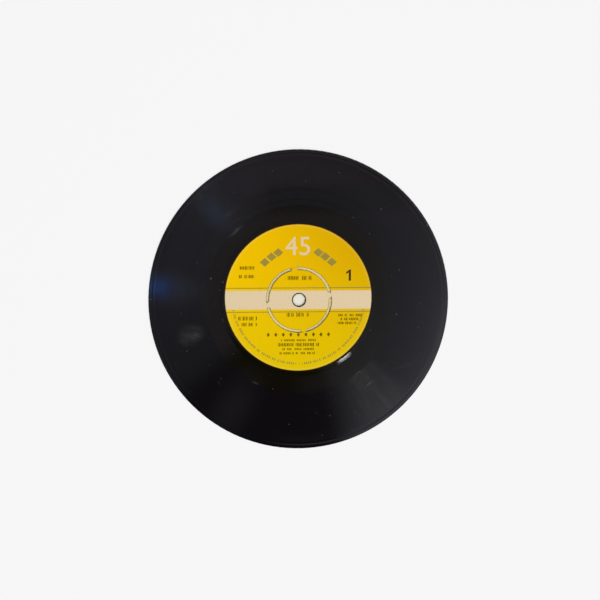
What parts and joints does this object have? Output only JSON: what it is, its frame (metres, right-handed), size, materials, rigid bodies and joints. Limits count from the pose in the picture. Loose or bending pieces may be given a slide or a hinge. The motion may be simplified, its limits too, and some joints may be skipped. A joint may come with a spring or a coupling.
{
  "type": "vinyl record",
  "caption": "Seven inch vinyl record with grooved sides, paper labels and a push-out centre held by four webs.",
  "frame": {"origin": "middle of the spindle hole, on the surface that the record lies on", "axes": "+Z along the spindle hole, out of side A; +Y towards the top of side A's label"},
  "size_m": [0.175, 0.175, 0.0018],
  "materials": {
    "vinyl": "black pressed vinyl, glossy, with a fine grooved sheen",
    "label_paper": "uncoated yellow label paper, printed, matt"
  },
  "bodies": {
    "record": {"vinyl_disc": "vinyl", "side_a_label_ring": "label_paper", "side_b_label_ring": "label_paper"},
    "centre": {"push_out_centre": "vinyl", "side_a_label_centre": "label_paper", "side_b_label_centre": "label_paper"}
  },
  "joints": [
    {"name": "centre_push_out", "type": "slide", "parent": "record", "child": "centre", "axis": [0, 0, 1], "range_m": [0, 0.012]}
  ]
}
